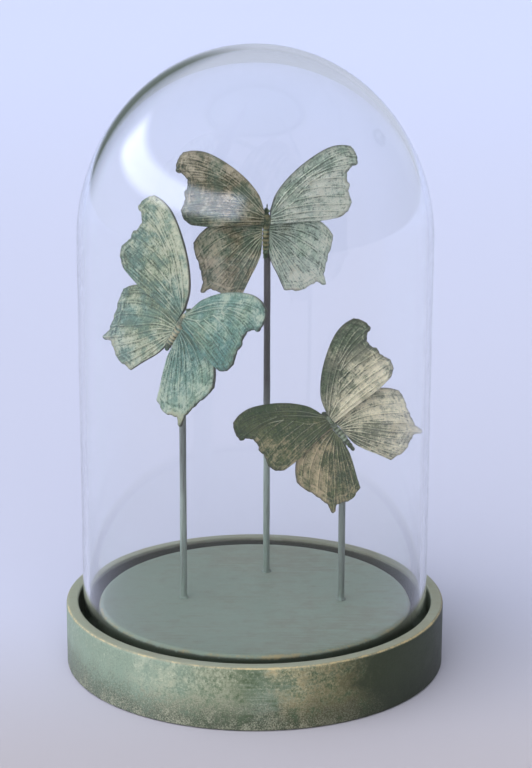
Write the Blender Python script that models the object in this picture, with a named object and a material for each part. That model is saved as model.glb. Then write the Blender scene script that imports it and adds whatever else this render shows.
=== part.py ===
"""Glass dome over three cast butterflies that stand on rods in a round turned base.

Metres, +Z up, origin at the centre of the base's underside, the front towards -Y.
"""
import math

import bmesh
import bpy
from mathutils import Matrix, Vector

MM = 0.001
FIT_GAP = 0.3                 # clearance left between pieces that touch, all sizes below in mm

# Round base with a routed ring groove
BASE_RADIUS = 95.0
BASE_HEIGHT = 32.0
RIM_WIDTH = 6.0
RIM_ARRIS = 1.5
RIM_CHAMFER = 0.6             # on the rim's inner edge
FOOT_CHAMFER = 0.8            # on the wall's lower edge
PLINTH_RADIUS = 79.0          # the raised disc inside the groove
PLINTH_ROUND = 3.0
GROOVE_DEPTH = 14.0
BASE_STEPS = 72

# Glass dome
DOME_RADIUS = 86.5
DOME_WALL = 3.0
DOME_SHOULDER = 216.0         # height where the straight side ends
DOME_TOP = 310.0
DOME_STEPS = 64
DOME_CROWN_POINTS = 13

# Rods, each standing in a blind hole in the plinth
ROD_RADIUS = 1.7
ROD_HOLE_DEPTH = 8.0
ROD_STEPS = 16

# Wing plates: (outward from the body, towards the head) for a wing of size 1
WING_THICK = 1.4
WING_STEP = 0.95              # half the step from the forewing down to the hindwing behind it
LEADING_EDGE = ((2.7, 13.0), (5.2, 21.5), (12.5, 30.0), (22.0, 37.4), (32.0, 42.9), (39.5, 44.6),
                (45.5, 44.0))
FORE_MARGIN = ((48.2, 40.5), (49.5, 35.4), (46.6, 34.2), (44.5, 32.6), (43.2, 28.0), (44.6, 24.0),
               (44.6, 20.6), (45.9, 17.0), (45.8, 13.4), (44.2, 10.4), (40.5, 8.0))
FORE_TRAILING = ((30.0, 6.6), (16.0, 6.6), (2.7, 6.2))
HIND_UPPER = ((2.7, 5.4), (14.0, 8.0), (27.0, 7.2), (34.0, 3.0), (38.0, -2.0))
HIND_MARGIN = ((37.2, -7.0), (35.2, -13.0), (33.6, -18.0), (33.4, -22.5), (34.2, -26.6), (31.4, -25.6),
               (29.0, -25.2), (24.0, -27.2), (19.0, -29.0), (14.8, -28.4), (11.6, -28.2))
HIND_INNER = ((8.0, -21.0), (4.4, -14.5), (2.4, -9.0), (2.5, -3.0))
CURVE_PIECES = 3              # straight pieces between two given points of a curved edge

# Body: (height along the body, radius), head first
BODY_PROFILE = ((14.4, 0.0), (13.9, 1.0), (12.8, 1.5), (11.7, 1.2), (10.9, 1.6), (9.6, 2.1), (8.0, 2.3),
                (6.0, 2.2), (4.2, 1.8), (3.2, 1.35), (2.2, 1.75), (1.2, 1.45), (0.1, 1.8), (-1.0, 1.5),
                (-2.1, 1.8), (-3.2, 1.5), (-4.3, 1.75), (-5.4, 1.4), (-6.5, 1.6), (-7.6, 1.25),
                (-8.7, 1.4), (-9.8, 1.05), (-10.8, 1.1), (-11.8, 0.7), (-12.2, 0.0))
BODY_STEPS = 12

# One row per butterfly. rod is the rod's place on the base, centre the body's own origin.
# turn is yaw, lean and roll in degrees; fore and hind are how far each pair is raised, left then right.
BUTTERFLIES = {
    "top": {"rod": (6.0, 35.1), "rod_top": 216.0, "centre": (5.2, 30.4, 211.0), "size": 0.994,
            "turn": (18.3, -1.3, 1.5), "fore": (5.5, -4.5), "hind": (3.0, -6.0), "abdomen": 1.0},
    "left": {"rod": (-35.8, -2.5), "rod_top": 177.0, "centre": (-38.8, -8.6, 170.6), "size": 1.083,
             "turn": (-41.5, -16.2, 26.4), "fore": (9.5, 13.5), "hind": (4.0, 9.8), "abdomen": 0.72},
    "right": {"rod": (43.4, -5.0), "rod_top": 122.0, "centre": (41.5, -10.5, 121.4), "size": 0.939,
              "turn": (11.4, -13.6, -37.7), "fore": (24.0, 25.5), "hind": (23.0, 17.0), "abdomen": 1.0},
}

# Linear base colour, roughness, metallic
FINISHES = {
    "verdigris_base": ((0.16, 0.21, 0.17, 1.0), 0.55, 0.2),
    "clear_glass": ((0.92, 0.95, 0.96, 1.0), 0.02, 0.0),
    "painted_rod": ((0.13, 0.15, 0.14, 1.0), 0.45, 0.3),
    "verdigris_casting": ((0.20, 0.27, 0.21, 1.0), 0.45, 0.4),
}


def clear_scene():
    for item in list(bpy.data.objects):
        bpy.data.objects.remove(item, do_unlink=True)


def finish(name):
    """The named Principled material, made on first use."""
    material = bpy.data.materials.get(name)
    if material is None:
        colour, roughness, metallic = FINISHES[name]
        material = bpy.data.materials.new(name)
        material.use_nodes = True
        shader = material.node_tree.nodes["Principled BSDF"]
        shader.inputs["Base Color"].default_value = colour
        shader.inputs["Roughness"].default_value = roughness
        shader.inputs["Metallic"].default_value = metallic
        if name == "clear_glass":
            shader.inputs["Transmission Weight"].default_value = 1.0
            shader.inputs["IOR"].default_value = 1.5
        material.diffuse_color = colour
    return material


def add_object(name, bm, material, smooth_angle=35.0):
    """Turn a bmesh in millimetres into a named object in metres with its faces outward."""
    bmesh.ops.recalc_face_normals(bm, faces=bm.faces)
    bmesh.ops.scale(bm, vec=(MM, MM, MM), verts=bm.verts)
    mesh = bpy.data.meshes.new(name)
    bm.to_mesh(mesh)
    bm.free()
    mesh.shade_smooth()
    mesh.set_sharp_from_angle(angle=math.radians(smooth_angle))
    mesh.materials.append(finish(material))
    item = bpy.data.objects.new(name, mesh)
    bpy.context.scene.collection.objects.link(item)
    return item


def turned(profile, steps, closed):
    """Spin a profile of (radius, height) points round Z into one closed surface."""
    bm = bmesh.new()
    points = [bm.verts.new((radius, 0.0, height)) for radius, height in profile]
    pairs = list(zip(points, points[1:]))
    if closed:
        pairs.append((points[-1], points[0]))
    edges = [bm.edges.new(pair) for pair in pairs]
    bmesh.ops.spin(bm, geom=points + edges, cent=(0.0, 0.0, 0.0), axis=(0.0, 0.0, 1.0),
                   angle=2.0 * math.pi, steps=steps, use_merge=True)
    bmesh.ops.remove_doubles(bm, verts=bm.verts, dist=0.001)
    return bm


def quarter_round(centre, radius, start, pieces=4):
    """Points of a quarter circle in the profile plane, from the start angle in degrees, clockwise."""
    angles = [math.radians(start - 90.0 * step / pieces) for step in range(pieces + 1)]
    return [(centre[0] + radius * math.cos(a), centre[1] + radius * math.sin(a)) for a in angles]


def smooth_run(points, pieces=CURVE_PIECES):
    """Catmull-Rom curve through the points, straight pieces between each pair."""
    padded = [points[0], *points, points[-1]]
    curve = []
    for before, start, end, after in zip(padded, padded[1:], padded[2:], padded[3:]):
        for step in range(pieces):
            t = step / pieces
            curve.append(tuple(
                0.5 * (2.0 * b + (c - a) * t + (2.0 * a - 5.0 * b + 4.0 * c - d) * t ** 2
                       + (3.0 * b - a - 3.0 * c + d) * t ** 3)
                for a, b, c, d in zip(before, start, end, after)))
    return curve + [points[-1]]


def make_base():
    """Turned base: flat underside, low wall, rim, ring groove and a plinth with a rounded edge."""
    rim_inner = BASE_RADIUS - RIM_WIDTH
    floor = BASE_HEIGHT - GROOVE_DEPTH
    plinth_edge = quarter_round((PLINTH_RADIUS - PLINTH_ROUND, BASE_HEIGHT - PLINTH_ROUND),
                                PLINTH_ROUND, 90.0)
    profile = [(0.0, BASE_HEIGHT), *plinth_edge, (PLINTH_RADIUS, floor), (rim_inner, floor),
               (rim_inner, BASE_HEIGHT - RIM_CHAMFER), (rim_inner + RIM_CHAMFER, BASE_HEIGHT),
               *quarter_round((BASE_RADIUS - RIM_ARRIS, BASE_HEIGHT - RIM_ARRIS), RIM_ARRIS, 90.0, 2),
               (BASE_RADIUS, FOOT_CHAMFER), (BASE_RADIUS - FOOT_CHAMFER, 0.0), (0.0, 0.0)]
    base = add_object("base", turned(profile, BASE_STEPS, closed=False), "verdigris_base")
    depth = ROD_HOLE_DEPTH + FIT_GAP
    for key, row in BUTTERFLIES.items():
        x, y = row["rod"]
        cutter = bmesh.new()
        bmesh.ops.create_cone(cutter, cap_ends=True, segments=ROD_STEPS, radius1=ROD_RADIUS + FIT_GAP,
                              radius2=ROD_RADIUS + FIT_GAP, depth=2.0 * depth,
                              matrix=Matrix.Translation((x, y, BASE_HEIGHT)))
        drill = add_object(f"drill_{key}", cutter, "painted_rod")
        drill.hide_render = True
        drill.display_type = "WIRE"
        cut = base.modifiers.new(f"rod hole {key}", "BOOLEAN")
        cut.operation = "DIFFERENCE"
        cut.object = drill


def dome_wall(radius, top):
    """One face of the glass: straight up from the rim, then a quarter ellipse to the axis."""
    rim = BASE_HEIGHT - GROOVE_DEPTH + FIT_GAP
    crown = []
    for step in range(DOME_CROWN_POINTS):
        angle = 0.5 * math.pi * step / (DOME_CROWN_POINTS - 1)
        crown.append((radius * math.cos(angle), DOME_SHOULDER + (top - DOME_SHOULDER) * math.sin(angle)))
    crown[-1] = (0.0, top)
    return [(radius, rim), *crown]


def make_dome():
    """Clear dome, open below, its rim standing on the floor of the ring groove."""
    outer = dome_wall(DOME_RADIUS, DOME_TOP)
    inner = dome_wall(DOME_RADIUS - DOME_WALL, DOME_TOP - DOME_WALL)
    bm = turned([*reversed(outer), *inner], DOME_STEPS, closed=False)
    add_object("glass_dome", bm, "clear_glass")


def make_rod(key, row):
    """Straight rod from the bottom of its hole to behind the butterfly's body."""
    x, y = row["rod"]
    foot = BASE_HEIGHT - ROD_HOLE_DEPTH
    length = row["rod_top"] - foot
    bm = bmesh.new()
    bmesh.ops.create_cone(bm, cap_ends=True, segments=ROD_STEPS, radius1=ROD_RADIUS, radius2=ROD_RADIUS,
                          depth=length, matrix=Matrix.Translation((0.0, 0.0, 0.5 * length)))
    rod = add_object(f"stem_{key}", bm, "painted_rod")
    rod.location = Vector((x, y, foot)) * MM


def plate(outline, front, back):
    """Flat plate with the given (outward, headward) outline between two depths along Y."""
    bm = bmesh.new()
    face = bm.faces.new([bm.verts.new((u, front, v)) for u, v in outline])
    sheet = bmesh.ops.extrude_face_region(bm, geom=[face])
    moved = [item for item in sheet["geom"] if isinstance(item, bmesh.types.BMVert)]
    bmesh.ops.translate(bm, vec=(0.0, back - front, 0.0), verts=moved)
    return bm


def wing_outline(pair, size, side):
    """Outline of a forewing or a hindwing; side is -1 for left and 1 for right."""
    if pair == "fore":
        points = [*smooth_run(LEADING_EDGE), *FORE_MARGIN, *FORE_TRAILING]
    else:
        points = [*smooth_run(HIND_UPPER), *HIND_MARGIN, *HIND_INNER]
    return [(side * u * size, v * size) for u, v in points]


def make_butterfly(key, row):
    """Body and four wings on one empty that carries the butterfly's place and turn."""
    size = row["size"]
    holder = bpy.data.objects.new(f"butterfly_{key}", None)
    holder.location = Vector(row["centre"]) * MM
    holder.rotation_mode = "YXZ"
    yaw, lean, roll = (math.radians(angle) for angle in row["turn"])
    holder.rotation_euler = (lean, roll, yaw)
    bpy.context.scene.collection.objects.link(holder)

    profile = [(radius * size, height * size * (row["abdomen"] if height < 0.0 else 1.0))
               for height, radius in BODY_PROFILE]
    body = add_object(f"butterfly_{key}_body", turned(profile, BODY_STEPS, closed=False),
                      "verdigris_casting")
    body.parent = holder

    half = 0.5 * WING_THICK
    for pair, middle in (("fore", -WING_STEP), ("hind", WING_STEP)):
        for side, side_name, raised in ((-1, "left", row[pair][0]), (1, "right", row[pair][1])):
            bm = plate(wing_outline(pair, size, side), middle - half, middle + half)
            wing = add_object(f"butterfly_{key}_{pair}wing_{side_name}", bm, "verdigris_casting")
            wing.rotation_euler.z = math.radians(-side * raised)
            wing.parent = holder


def main():
    clear_scene()
    make_base()
    make_dome()
    for key, row in BUTTERFLIES.items():
        make_rod(key, row)
        make_butterfly(key, row)


main()
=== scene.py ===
import math

import bpy
import numpy as np
from bpy.props import FloatProperty, FloatVectorProperty, PointerProperty
from bpy.types import NodeSocket, Operator, Panel, PropertyGroup
from mathutils import Euler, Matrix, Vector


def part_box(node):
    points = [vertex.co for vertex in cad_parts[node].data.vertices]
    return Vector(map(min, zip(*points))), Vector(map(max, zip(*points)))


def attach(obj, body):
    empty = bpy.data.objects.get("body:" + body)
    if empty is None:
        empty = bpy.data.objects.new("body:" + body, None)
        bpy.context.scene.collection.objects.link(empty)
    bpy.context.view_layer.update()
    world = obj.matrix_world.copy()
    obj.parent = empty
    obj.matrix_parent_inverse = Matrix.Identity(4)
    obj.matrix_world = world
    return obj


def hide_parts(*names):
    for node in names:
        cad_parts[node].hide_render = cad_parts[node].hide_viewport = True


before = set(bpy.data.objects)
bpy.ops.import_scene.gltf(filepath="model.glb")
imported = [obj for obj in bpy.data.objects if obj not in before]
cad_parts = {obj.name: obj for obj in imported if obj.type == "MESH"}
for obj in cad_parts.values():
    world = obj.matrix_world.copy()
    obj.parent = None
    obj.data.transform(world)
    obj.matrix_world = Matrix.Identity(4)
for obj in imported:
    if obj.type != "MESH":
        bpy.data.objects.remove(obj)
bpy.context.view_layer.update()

bl_info = {
    "name": "Butterfly Cloche",
    "version": (1, 0, 0),
    "blender": (4, 5, 0),
    "location": "3D View > Sidebar > Cloche",
    "description": "Finished surfaces for a glass dome over three cast butterflies on a turned base",
    "category": "Object",
}

MM = 0.001
RIDES_ON = "root"
BUTTERFLY_KEYS = ("top", "left", "right")
SIDES = (("left", -1), ("right", 1))

# Wing outlines in millimetres: (outward from the body, towards the head) for a wing of size 1.
# Each wing has four edges. Root and margin run upwards, the other two run outwards.
FORE_EDGES = {
    "root": ((2.0, 6.2), (2.0, 9.6), (2.0, 13.0)),
    "upper": ((2.0, 13.0), (5.2, 21.5), (12.5, 30.0), (22.0, 37.4), (32.0, 42.9), (39.5, 44.6),
              (45.5, 44.0)),
    "margin": ((40.5, 8.0), (44.2, 10.4), (45.8, 13.4), (45.9, 17.0), (44.6, 20.6), (44.6, 24.0),
               (43.2, 28.0), (44.5, 32.6), (46.6, 34.2), (49.5, 35.4), (48.2, 40.5), (45.5, 44.0)),
    "lower": ((2.0, 6.2), (16.0, 6.6), (30.0, 6.6), (40.5, 8.0)),
}
HIND_EDGES = {
    "root": ((2.0, -3.0), (2.0, 1.2), (2.0, 5.4)),
    "upper": ((2.0, 5.4), (14.0, 8.0), (27.0, 7.2), (34.0, 3.0), (38.0, -2.0)),
    "margin": ((11.6, -28.2), (14.8, -28.4), (19.0, -29.0), (24.0, -27.2), (29.0, -25.2), (31.4, -25.6),
               (34.2, -26.6), (33.4, -22.5), (33.6, -18.0), (35.2, -13.0), (37.2, -7.0), (38.0, -2.0)),
    "lower": ((2.0, -3.0), (2.4, -9.0), (4.4, -14.5), (8.0, -21.0), (11.6, -28.2)),
}

# Veins of each wing, from the root or a fork out to the margin
FORE_VEINS = (
    ((2.0, 12.2), (9.0, 21.0), (17.0, 28.4), (26.0, 34.4), (36.0, 39.6), (46.6, 42.6)),
    ((2.0, 11.4), (9.6, 18.8), (18.5, 26.4), (27.0, 32.2), (37.0, 36.8), (48.2, 39.2)),
    ((2.0, 10.2), (11.7, 15.0), (16.8, 20.7), (22.9, 26.8)),
    ((22.9, 26.8), (21.4, 28.6), (20.4, 30.2)),
    ((24.6, 30.4), (35.0, 34.0), (48.8, 36.0)),
    ((22.9, 26.8), (32.0, 31.4), (45.0, 33.0)),
    ((22.9, 26.8), (32.0, 28.4), (43.4, 28.4)),
    ((18.8, 22.8), (30.0, 24.0), (44.4, 23.2)),
    ((14.4, 17.8), (29.0, 19.6), (45.0, 18.6)),
    ((9.6, 13.8), (26.0, 15.4), (45.6, 14.6)),
    ((2.0, 9.2), (22.0, 11.8), (44.4, 11.2)),
    ((2.0, 8.0), (22.0, 8.8), (42.2, 9.0)),
)
HIND_VEINS = (
    ((2.0, 4.6), (14.0, 6.0), (26.0, 4.4), (37.6, -3.6)),
    ((2.0, 3.6), (14.0, 3.2), (26.0, -1.0), (36.6, -8.6)),
    ((2.0, 2.7), (13.0, 0.2), (25.0, -6.5), (35.0, -14.0)),
    ((2.0, 1.9), (12.0, -2.6), (23.0, -11.6), (33.5, -19.6)),
    ((2.0, 1.1), (11.0, -5.0), (22.0, -16.6), (34.0, -26.4)),
    ((2.0, 0.3), (9.5, -7.0), (18.0, -17.6), (27.0, -26.0)),
    ((2.0, -0.6), (8.0, -9.4), (14.4, -19.0), (21.0, -28.2)),
    ((2.0, -1.5), (6.4, -10.4), (11.2, -20.0), (16.6, -28.6)),
    ((2.0, -2.3), (4.9, -11.0), (8.6, -20.0), (12.8, -28.2)),
)
# step is how far the plate lies behind the body's middle, hem how far inside the margin a line runs
WINGS = {
    "fore": {"edges": FORE_EDGES, "veins": FORE_VEINS, "step": -0.95, "hem": 1.7},
    "hind": {"edges": HIND_EDGES, "veins": HIND_VEINS, "step": 0.95, "hem": 3.2},
}
WING_ROWS = 112               # grid points from the root to the margin
WING_COLUMNS = 136            # grid points from the lower edge to the upper edge
RIM_ROWS = 3                  # rows of points round the thickness of the edge
FIT_GAP = 0.3                 # clearance between a rod and its hole
BRUSH_LONG = 52.0             # length of a wing in the coordinates that its paint follows
BRUSH_WIDE = 34.0             # width of a wing in the same coordinates

# Half the body in millimetres: (height along the body, radius), head first
BODY_PROFILE = (
    (14.4, 0.0), (14.1, 0.7), (13.4, 1.25), (12.6, 1.45), (11.7, 1.2), (10.9, 1.55), (9.6, 2.1),
    (8.0, 2.3), (6.0, 2.2), (4.2, 1.8), (3.2, 1.3), (2.2, 1.75), (1.2, 1.4), (0.1, 1.8), (-1.0, 1.42),
    (-2.1, 1.8), (-3.2, 1.42), (-4.3, 1.75), (-5.4, 1.35), (-6.5, 1.6), (-7.6, 1.2), (-8.7, 1.4),
    (-9.8, 1.0), (-10.8, 1.1), (-11.8, 0.7), (-12.2, 0.0))
BODY_STEPS = 48
BASE_STEPS = 320
BASE_SMOOTH = 32.0            # degrees between faces up to which the base is shaded smooth
DOME_STEPS = 224
ROD_STEPS = 36

# Where each butterfly stands, in millimetres and degrees. rod is the foot of its rod, centre the body's
# own origin, turn its yaw, lean and roll. fore and hind are how far each pair is raised, left then right.
# abdomen is the share of its full length that shows, feeler the length of the stub that is left of it.
# bronze is how bare the rod is and the height where that starts.
PLACES = {
    "top": {"rod": (6.0, 35.1), "centre": (5.2, 30.4, 211.0), "size": 0.994,
            "turn": (18.3, -1.3, 1.5), "fore": (5.5, -4.5), "hind": (3.0, -6.0),
            "abdomen": 1.0, "feeler": 2.0, "bronze": (0.92, 118.0)},
    "left": {"rod": (-35.8, -2.5), "centre": (-38.8, -8.6, 170.6), "size": 1.083,
             "turn": (-41.5, -16.2, 26.4), "fore": (9.5, 13.5), "hind": (4.0, 9.8),
             "abdomen": 0.72, "feeler": 0.0, "bronze": (0.5, 90.0)},
    "right": {"rod": (43.4, -5.0), "centre": (41.5, -10.5, 121.4), "size": 0.939,
              "turn": (11.4, -13.6, -37.7), "fore": (24.0, 25.5), "hind": (23.0, 17.0),
              "abdomen": 1.0, "feeler": 0.0, "bronze": (0.35, 40.0)},
}


def span(node, axis):
    """Lowest and highest place of a CAD node along one axis, in millimetres."""
    low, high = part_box(node)
    return low[axis] / MM, high[axis] / MM


# Settings


def length(name, description, default):
    """A length setting, given in millimetres and kept in metres."""
    return FloatProperty(name=name, description=description, default=default * MM, min=0.0, unit="LENGTH",
                         precision=5)


def number(name, description, default):
    """A plain number setting."""
    return FloatProperty(name=name, description=description, default=default, min=0.0)


def colour(name, description, default):
    """A colour setting."""
    return FloatVectorProperty(name=name, description=description, default=default, min=0.0, max=1.0,
                               size=3, subtype="COLOR")


class BaseSettings(PropertyGroup):
    """Sizes and paint of the turned base."""

    radius: length("Radius", "Outer radius of the base", span("base", 0)[1])
    height: length("Height", "Height of the rim and the plinth", span("base", 2)[1])
    rim_width: length("Rim width", "Width of the flat rim outside the groove", 6.0)
    arris: length("Arris", "Radius of the rim's worn outer edge", 1.5)
    plinth_radius: length("Plinth radius", "Radius of the raised disc inside the groove", 79.0)
    plinth_round: length("Plinth edge", "Radius of the plinth's rounded edge", 3.0)
    groove_depth: length("Groove depth", "Depth of the ring groove that takes the glass", 14.0)
    green: colour("Green", "Grey-green ground coat", (0.056, 0.086, 0.044))
    # The pale green also paints light on the left of the wall and, in part, a reflection on the flat tops
    pale_green_and_painted_light: colour("Pale green", "Chalky patches over the ground coat", (0.255, 0.325, 0.265))
    # The dark green is real in the pits, and painted shade on the right of the wall
    dark_green_and_right_shade: colour("Dark green", "Darker glaze on the right of the wall", (0.022, 0.030, 0.014))
    # The umber paints shade in the groove and darkens the wall towards its foot
    shade_umber: colour("Umber", "Dark wash in the groove and low on the wall", (0.022, 0.028, 0.018))
    bronze: colour("Bronze", "Warm grey brushed along the rim", (0.20, 0.185, 0.13))
    gold: colour("Gold", "Gold rubbed over edges and high spots", (0.47, 0.37, 0.19))
    cream: colour("Cream", "Pale rubbed highlights", (0.54, 0.54, 0.40))


class GlassSettings(PropertyGroup):
    """Sizes and tint of the glass dome."""

    radius: length("Radius", "Outer radius of the dome", span("glass_dome", 0)[1])
    wall: length("Wall", "Thickness of the glass", 3.0)
    shoulder: length("Shoulder", "Height where the straight side ends", 216.0)
    rim: length("Rim", "Height of the lower rim in the groove", span("glass_dome", 2)[0])
    top: length("Top", "Height of the crown", span("glass_dome", 2)[1])
    ior: number("IOR", "Refractive index of the glass", 1.47)
    tint: colour("Tint", "Colour that light takes on in the glass", (0.62, 0.80, 0.72))
    density: number("Density", "Absorption in each metre of glass", 9.0)


class RodSettings(PropertyGroup):
    """Size and paint of the three rods."""

    radius: length("Radius", "Radius of the rods", 1.7)
    collar: length("Collar", "Width of the paint fillet round each foot", 0.7)
    grey: colour("Grey", "Grey-green paint on the rods", (0.29, 0.35, 0.315))
    green: colour("Green", "Greener paint towards the foot", (0.15, 0.20, 0.165))
    bronze: colour("Bronze", "Dark bronze on the tall rod", (0.055, 0.047, 0.050))


class CastingSettings(PropertyGroup):
    """Shape of the cast wings and paint shared by all three butterflies."""

    thickness: length("Thickness", "Thickness of a wing plate", 1.35)
    vein_height: length("Vein height", "How far the veins stand up", 0.55)
    vein_width: length("Vein width", "Half width of a vein", 0.36)
    bow: length("Bow", "How far a wing bows between its edges", 0.9)
    nibble: length("Nibble", "Raggedness of the wing margins", 0.38)
    gold: colour("Gold", "Gold rubbed over the high places", (0.36, 0.31, 0.14))
    cream: colour("Cream", "Pale dry-brushed paint", (0.66, 0.66, 0.52))
    # The recess colour also paints shadow beside the veins and beside the line inside the margin
    recess: colour("Recess", "Dark wash between the veins", (0.034, 0.052, 0.027))
    # The edge colour is painted shade on the plate's edge and near its margin
    edge: colour("Edge", "Dark bare edge of the castings", (0.035, 0.036, 0.026))


def brushing(name, description, value):
    """Vector property: how much dry brushing, then its rise from root to margin and from edge to edge."""
    return FloatVectorProperty(name=name, description=description, size=3, default=value)


def butterfly_settings(label, body, left, right):
    """A settings class for one butterfly; left and right are (ground, patina, dry, fore, hind)."""
    fields = {"body": colour("Body", "Rubbed paint on the beads of the body", body)}
    kinds = (("ground", colour, "Ground coat"), ("patina", colour, "Second coat"),
             ("dry", colour, "Dry-brushed paint"), ("fore", brushing, "Forewing's dry brushing"),
             ("hind", brushing, "Hindwing's dry brushing"))
    for side, values in (("left", left), ("right", right)):
        for (part, kind, what), value in zip(kinds, values):
            title = f"{side.capitalize()} {part}"
            fields[f"{side}_{part}"] = kind(title, f"{what} on the {side}", value)
    return type(f"{label}ButterflySettings", (PropertyGroup,),
                {"__doc__": f"Paint of the {label.lower()} butterfly.", "__annotations__": fields})


TopButterflySettings = butterfly_settings(
    "Top", (0.42, 0.36, 0.19),
    ((0.235, 0.210, 0.110), (0.225, 0.300, 0.205), (0.86, 0.77, 0.57),
     (0.54, -0.1, 0.4), (0.52, 0.5, 0.0)),
    ((0.500, 0.650, 0.500), (0.62, 0.74, 0.62), (1.00, 1.00, 0.86),
     (0.68, 0.4, -0.3), (0.50, 0.6, -0.2)))
LeftButterflySettings = butterfly_settings(
    "Left", (0.56, 0.48, 0.30),
    ((0.215, 0.285, 0.180), (0.150, 0.275, 0.225), (0.62, 0.62, 0.46),
     (0.54, 0.1, 0.6), (0.54, 0.0, -0.4)),
    ((0.085, 0.215, 0.190), (0.145, 0.270, 0.200), (0.50, 0.56, 0.43),
     (0.42, 0.1, 0.5), (0.54, 0.8, -0.3)))
RightButterflySettings = butterfly_settings(
    "Right", (0.42, 0.50, 0.37),
    ((0.054, 0.102, 0.033), (0.105, 0.148, 0.052), (0.74, 0.60, 0.37),
     (0.22, 0.3, -0.7), (0.58, 0.3, 0.6)),
    ((0.125, 0.180, 0.096), (0.36, 0.37, 0.25), (1.00, 0.92, 0.67),
     (0.54, -0.1, -1.1), (0.68, 0.4, 0.3)))


class StageSettings(PropertyGroup):
    """Floor, lights and camera."""

    floor: colour("Floor", "Floor colour near the object", (0.365, 0.345, 0.372))
    # The far floor colour is painted light: brighter and bluer away from the camera
    lit_far_floor: colour("Far floor", "Floor colour away from the camera", (0.455, 0.492, 0.655))
    horizon: colour("Horizon", "Soft light from low down on the left and behind", (0.60, 0.65, 0.80))
    overhead: colour("Overhead", "Weaker light from above", (0.42, 0.45, 0.52))
    dark_side: colour("Dark side", "Faint light from the right and the front", (0.10, 0.11, 0.125))
    dark_corner: colour("Dark corner", "Dim light from a corner behind on the left", (0.14, 0.17, 0.16))
    sky_strength: number("Sky strength", "Brightness of the sky", 1.0)
    strip: number("Light strip", "Brightness of the long soft light on the left", 4.5)
    daylight: number("Daylight", "Strength of the broad light from the left front", 4.1)
    top_light: number("Top light", "Strength of the even light from above", 1.2)
    lens: number("Lens", "Focal length of the camera in millimetres", 107.8)


# Surfaces as whole arrays


def smooth_curve(points, pieces=16):
    """Catmull-Rom curve: each piece is the cubic through its two ends, sloped as their neighbours lie."""
    points = np.asarray(points, float)
    given = np.vstack([2.0 * points[0] - points[1], points, 2.0 * points[-1] - points[-2]])
    t = np.linspace(0.0, 1.0, pieces, endpoint=False)[None, :, None]
    before, start, end, after = (given[i:len(given) - 3 + i, None, :] for i in range(4))
    curve = 0.5 * (2.0 * start + (end - before) * t
                   + (2.0 * before - 5.0 * start + 4.0 * end - after) * t ** 2
                   + (3.0 * start - before - 3.0 * end + after) * t ** 3)
    return np.vstack([curve.reshape(-1, points.shape[1]), points[-1:]])


def evenly(points, count):
    """The same curve as count points that are equally far apart along it."""
    along = np.concatenate([[0.0], np.cumsum(np.linalg.norm(np.diff(points, axis=0), axis=1))])
    wanted = np.linspace(0.0, along[-1], count)
    return np.stack([np.interp(wanted, along, column) for column in points.T], axis=1)


def reach(points, line):
    """Distance from each point to the nearest place on a line, and how far along the line that is."""
    start, step = line[:-1], np.diff(line, axis=0)
    gap = points[:, None, :] - start
    part = np.clip((gap * step).sum(axis=-1) / (step ** 2).sum(axis=-1), 0.0, 1.0)
    away = np.linalg.norm(gap - part[..., None] * step, axis=-1)
    nearest = away.argmin(axis=1)
    rows = np.arange(len(points))
    return away[rows, nearest], (nearest + part[rows, nearest]) / len(step)


def hump(distance, width):
    """Bell curve: 1 at no distance, falling off with the square of distance over width."""
    return np.exp(-(distance / width) ** 2)


def quads_between(index):
    """Four-sided faces between neighbouring rows and columns of a table of point numbers."""
    corners = (index[:-1, :-1], index[:-1, 1:], index[1:, 1:], index[1:, :-1])
    return np.stack(corners, axis=-1).reshape(-1, 4)


def outward(points, faces):
    """The faces, all turned round if the volume that they enclose comes out negative."""
    a, b, c = (points[faces[:, i]] for i in range(3))
    d = points[faces[:, -1]]
    volume = np.einsum("ij,ij->", a, np.cross(b, c)) + np.einsum("ij,ij->", a, np.cross(c, d))
    return faces if volume > 0.0 else faces[:, ::-1]


def ring_surface(rings, first_pole, last_pole):
    """Closed surface over rings (rows, steps, 3) of points, each end drawn together in a pole."""
    rows, steps = rings.shape[:2]
    points = np.vstack([rings.reshape(-1, 3), first_pole, last_pole])
    index = np.arange(rows * steps).reshape(rows, steps)
    index = np.hstack([index, index[:, :1]])
    start, end = np.full((1, steps + 1), rows * steps), np.full((1, steps + 1), rows * steps + 1)
    faces = outward(points, quads_between(np.vstack([start, index, end])))
    return points, faces


def turned(profile, steps):
    """Surface of revolution: the profile of (radius, height), on the axis at its ends, turned round Z."""
    profile = np.asarray(profile, float)
    angle = 2.0 * np.pi * np.arange(steps) / steps
    inner = profile[1:-1]
    rings = np.stack([inner[:, :1] * np.cos(angle), inner[:, :1] * np.sin(angle),
                      np.repeat(inner[:, 1:], steps, axis=1)], axis=-1)
    return ring_surface(rings, (0.0, 0.0, profile[0, 1]), (0.0, 0.0, profile[-1, 1]))


def arc(centre, radius, start, sweep, count):
    """Points of a circular arc in the profile plane, angles in degrees from the outward direction."""
    angle = np.radians(np.linspace(start, start + sweep, count))
    return np.stack([centre[0] + radius * np.cos(angle), centre[1] + radius * np.sin(angle)], axis=1)


def line(start, end, count):
    """Equally spaced points from start up to, but not at, end."""
    return np.linspace(start, end, count, endpoint=False)


def turn_about(axis, degrees):
    """Rotation matrix about one axis, 0 for X, 1 for Y and 2 for Z."""
    cosine, sine = math.cos(math.radians(degrees)), math.sin(math.radians(degrees))
    matrix = np.eye(3)
    after, last = (axis + 1) % 3, (axis + 2) % 3
    matrix[after, after] = matrix[last, last] = cosine
    matrix[last, after], matrix[after, last] = sine, -sine
    return matrix


def placed(points, place):
    """Butterfly points in millimetres, rolled, leaned and yawed, then moved to its centre on the rod."""
    yaw, lean, roll = place["turn"]
    turn = turn_about(2, yaw) @ turn_about(0, lean) @ turn_about(1, roll)
    return points @ turn.T + np.array(place["centre"])


# Pieces


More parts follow.
